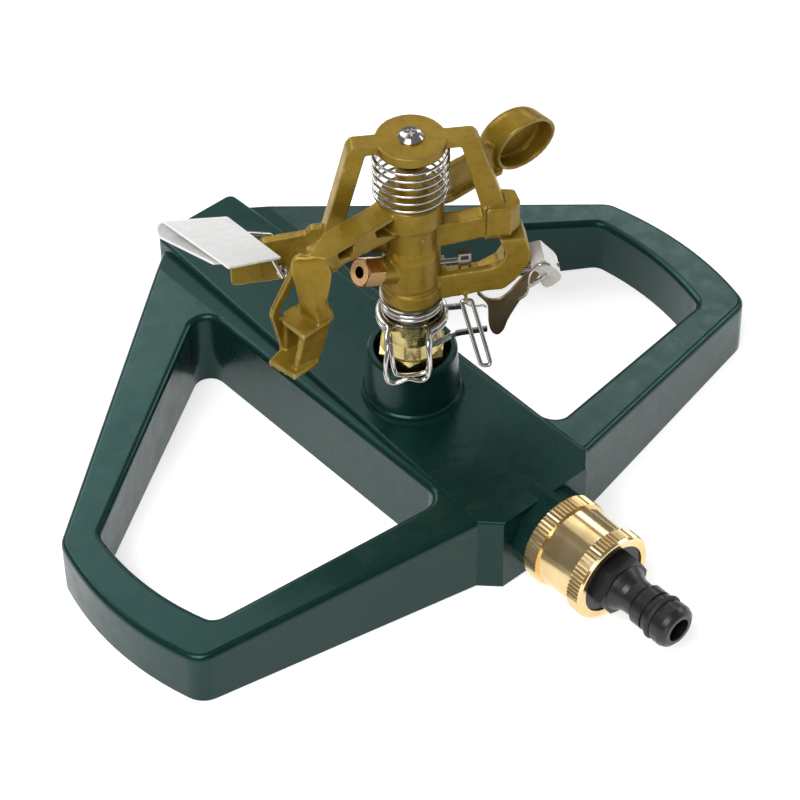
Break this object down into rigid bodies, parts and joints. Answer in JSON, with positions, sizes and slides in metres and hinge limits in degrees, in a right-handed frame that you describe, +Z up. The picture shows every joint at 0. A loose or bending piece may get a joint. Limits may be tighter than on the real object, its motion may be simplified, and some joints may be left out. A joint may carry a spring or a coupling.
{
  "type": "impact sprinkler",
  "caption": "Part-circle impact sprinkler with a sprung swing arm and trip collars on a flat winged sled base with a hose inlet.",
  "frame": {"origin": "centre of the overall box, on the ground", "axes": "+X across the two wings, +Y along the web away from the hose, +Z up"},
  "size_m": [0.2736, 0.2568, 0.1516],
  "materials": {
    "green_enamel": "gloss enamel on die-cast zinc alloy",
    "ochre_casting": "satin ochre finish with worn cast edges",
    "riser_brass": "yellow passivated, semi-gloss",
    "nozzle_brass": "machined, coppery",
    "swivel_brass": "polished and knurled",
    "spindle_brass": "machined",
    "stainless": "bright drawn wire and pins",
    "stainless_sheet": "bright stamped sheet",
    "bronze_plate": "bronze brown, satin",
    "grey_washer": "dense washer plastic",
    "bush_plastic": "bearing plastic",
    "black_plastic": "moulded, fine satin",
    "black_rubber": "smooth rubber"
  },
  "bodies": {
    "base": {"base_casting": "green_enamel", "riser": "riser_brass", "inlet_tail": "spindle_brass", "hose_washer": "black_rubber"},
    "head": {"head_casting": "ochre_casting", "spindle": "spindle_brass", "seal_washers": "grey_washer", "bearing_spring": "stainless", "bearing_washers": "stainless", "nozzle": "nozzle_brass", "arm_pin": "stainless", "pin_screw": "stainless", "arm_spring": "stainless", "trip_pin": "stainless", "trip_bracket": "stainless_sheet", "over_centre_spring": "stainless", "window_clip": "stainless_sheet", "flap_spring": "stainless"},
    "arm": {"drive_arm": "ochre_casting", "arm_bush": "bush_plastic"},
    "lever": {"trip_lever": "bronze_plate"},
    "hairpin": {"trip_hairpin": "stainless"},
    "flap": {"flap": "stainless_sheet", "flap_frame": "stainless"},
    "upper_collar": {"trip_collar_upper": "stainless"},
    "lower_collar": {"trip_collar_lower": "stainless"},
    "swivel": {"swivel": "swivel_brass", "plug": "black_plastic", "plug_ring": "black_rubber"}
  },
  "joints": [
    {"name": "head_turn", "type": "hinge", "parent": "base", "child": "head", "pos_m": [0, 0.00535, 0.09], "axis": [0, 0, 1], "continuous": true},
    {"name": "arm_swing", "type": "hinge", "parent": "head", "child": "arm", "pos_m": [0, 0.00535, 0.12], "axis": [0, 0, 1], "range_deg": [0, 70], "stiffness_Nm_per_rad": 0.03},
    {"name": "trip_rock", "type": "hinge", "parent": "head", "child": "lever", "pos_m": [0.03562, -0.01964, 0.0865], "axis": [0.829, -0.5592, 0], "range_deg": [-12, 12]},
    {"name": "hairpin_flip", "type": "hinge", "parent": "head", "child": "hairpin", "pos_m": [0.0107, -0.01079, 0.0806], "axis": [0.829, -0.5592, 0], "range_deg": [-120, 0]},
    {"name": "flap_tilt", "type": "hinge", "parent": "head", "child": "flap", "pos_m": [-0.03569, 0.03184, 0.097], "axis": [0.5592, 0.829, 0], "range_deg": [0, 30], "stiffness_Nm_per_rad": 0.005},
    {"name": "upper_collar_turn", "type": "hinge", "parent": "base", "child": "upper_collar", "pos_m": [0, 0.00535, 0.0715], "axis": [0, 0, 1], "range_deg": [-25, 25]},
    {"name": "lower_collar_turn", "type": "hinge", "parent": "base", "child": "lower_collar", "pos_m": [0, 0.00535, 0.0693], "axis": [0, 0, 1], "range_deg": [-25, 25]},
    {"name": "swivel_turn", "type": "hinge", "parent": "base", "child": "swivel", "pos_m": [0, -0.08465, 0.0176], "axis": [0, 1, 0], "continuous": true}
  ]
}
